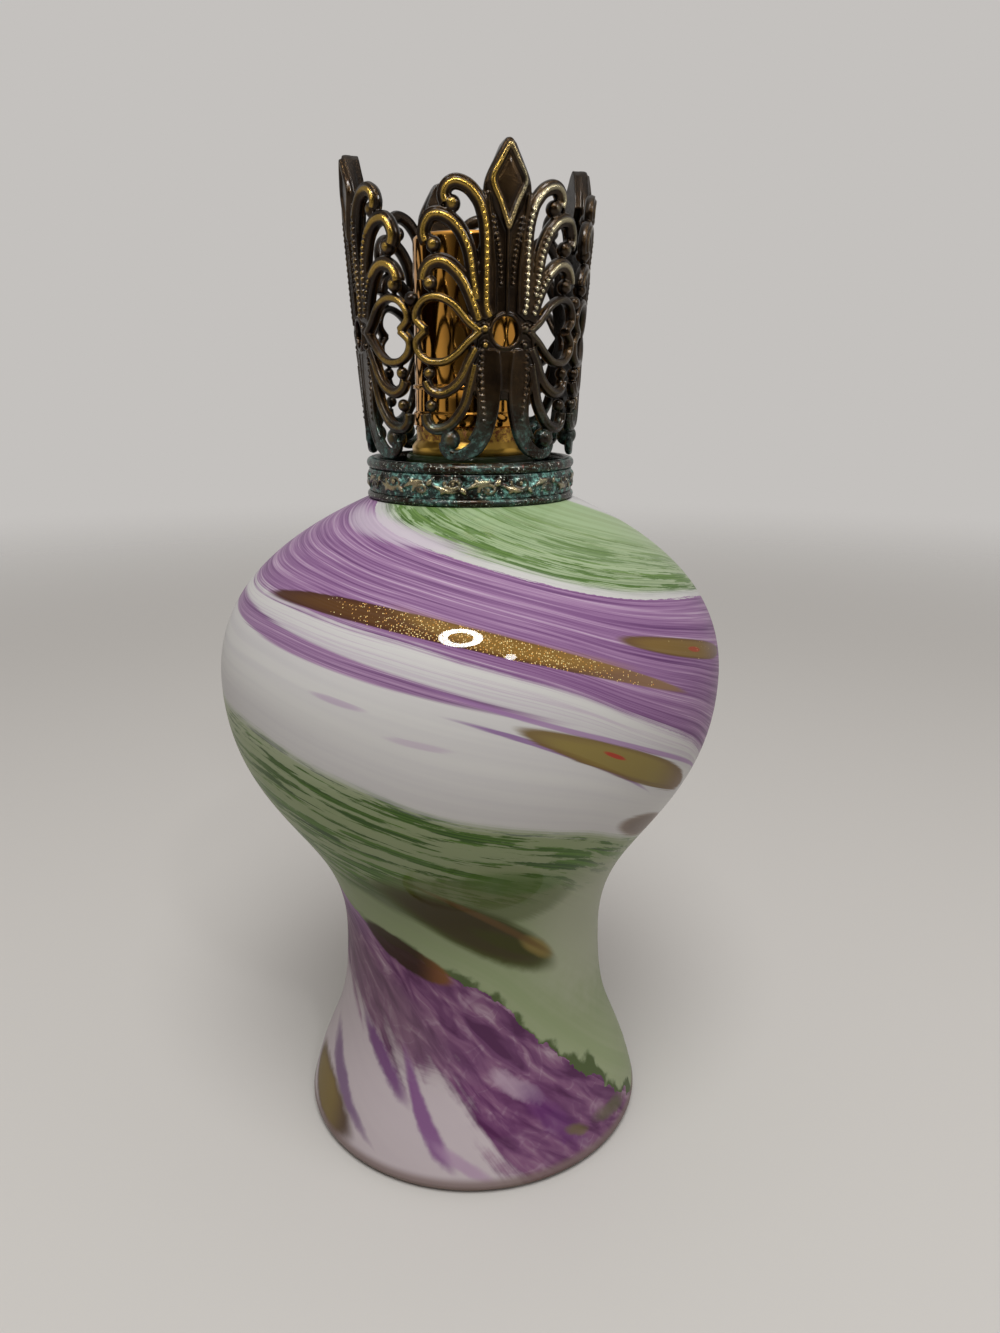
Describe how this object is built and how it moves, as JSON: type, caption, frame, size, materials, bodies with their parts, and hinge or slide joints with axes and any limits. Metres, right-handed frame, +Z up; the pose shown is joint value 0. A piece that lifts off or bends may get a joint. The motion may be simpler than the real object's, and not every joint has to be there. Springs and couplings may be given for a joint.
{
  "type": "perfume lamp",
  "caption": "Waisted round glass perfume lamp with a lift-off filigree crown, a snuffer cap and a lift-out catalytic burner whose cotton wick hangs in the bottle.",
  "frame": {"origin": "centre of the foot, on the table", "axes": "+Z up along the axis of the bottle, front towards -Y"},
  "size_m": [0.095, 0.095, 0.1842],
  "materials": {
    "swirled_glass": "glossy blown opal glass with purple, green, white and gold swirls",
    "gold_plate": "polished gold plate",
    "holder_brass": "satin turned brass",
    "antique_brass": "cast brass, darkened and rubbed bright on its ridges, with verdigris low down",
    "cement": "matt white lamp cement",
    "stone": "porous fired clay, greyer where the catalyst is",
    "cotton": "braided cotton",
    "silicone": "soft matt silicone"
  },
  "bodies": {
    "bottle": {"glass_bottle": "swirled_glass", "neck_collar": "gold_plate", "collar_cement": "cement"},
    "burner": {"burner_holder": "holder_brass", "burner_stone": "stone", "cotton_wick": "cotton"},
    "snuffer": {"snuffer_cap": "gold_plate", "cap_seal": "silicone"},
    "crown": {"crown_band": "antique_brass", "band_top_wire": "antique_brass", "band_foot_wire": "antique_brass", "crown_panel_1": "antique_brass", "crown_panel_2": "antique_brass", "crown_panel_3": "antique_brass", "crown_panel_4": "antique_brass", "seam_bead_1": "antique_brass", "seam_bead_2": "antique_brass", "seam_bead_3": "antique_brass", "seam_bead_4": "antique_brass"}
  },
  "joints": [
    {"name": "crown_lift", "type": "slide", "parent": "bottle", "child": "crown", "axis": [0, 0, 1], "range_m": [0, 0.07]},
    {"name": "burner_lift", "type": "slide", "parent": "bottle", "child": "burner", "axis": [0, 0, 1], "range_m": [0, 0.14]},
    {"name": "cap_lift", "type": "slide", "parent": "burner", "child": "snuffer", "axis": [0, 0, 1], "range_m": [0, 0.06]}
  ]
}
